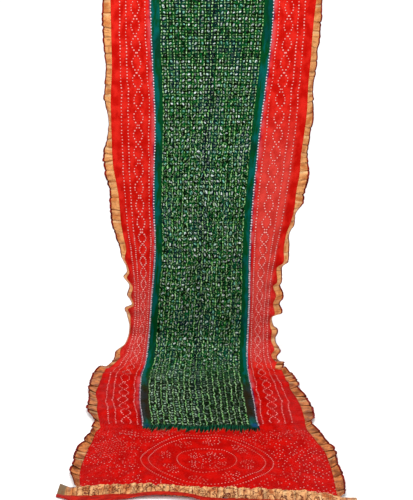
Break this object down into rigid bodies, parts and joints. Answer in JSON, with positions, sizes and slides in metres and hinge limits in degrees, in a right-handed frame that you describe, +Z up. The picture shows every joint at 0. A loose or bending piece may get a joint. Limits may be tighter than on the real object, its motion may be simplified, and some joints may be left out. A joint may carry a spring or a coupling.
{
  "type": "hanging bandhani cloth",
  "caption": "Long tie-dyed cloth, hung from its top hem, turned at the floor and lying on it, with gathered gold edgings and red bindings on both sides and the lower end.",
  "frame": {"origin": "middle of the top hem, where the cloth is held; the floor is at z = -1.52", "axes": "+Z up along the hanging part, -Y from the hanging part towards the lower end on the floor, +X to the right seen from the front"},
  "size_m": [0.9119, 1.377, 1.52],
  "materials": {
    "dyed_cloth": "crinkled satin-faced silk, red with a dark green centre field and small tied dots",
    "gold_tissue": "pleated gold tissue with a soft metallic sheen",
    "red_binding": "plain red silk binding, satin"
  },
  "bodies": {
    "root": {"cloth": "dyed_cloth", "edging_left": "gold_tissue", "edging_right": "gold_tissue", "edging_end": "gold_tissue", "binding_left": "red_binding", "binding_right": "red_binding", "binding_end": "red_binding"}
  },
  "joints": []
}
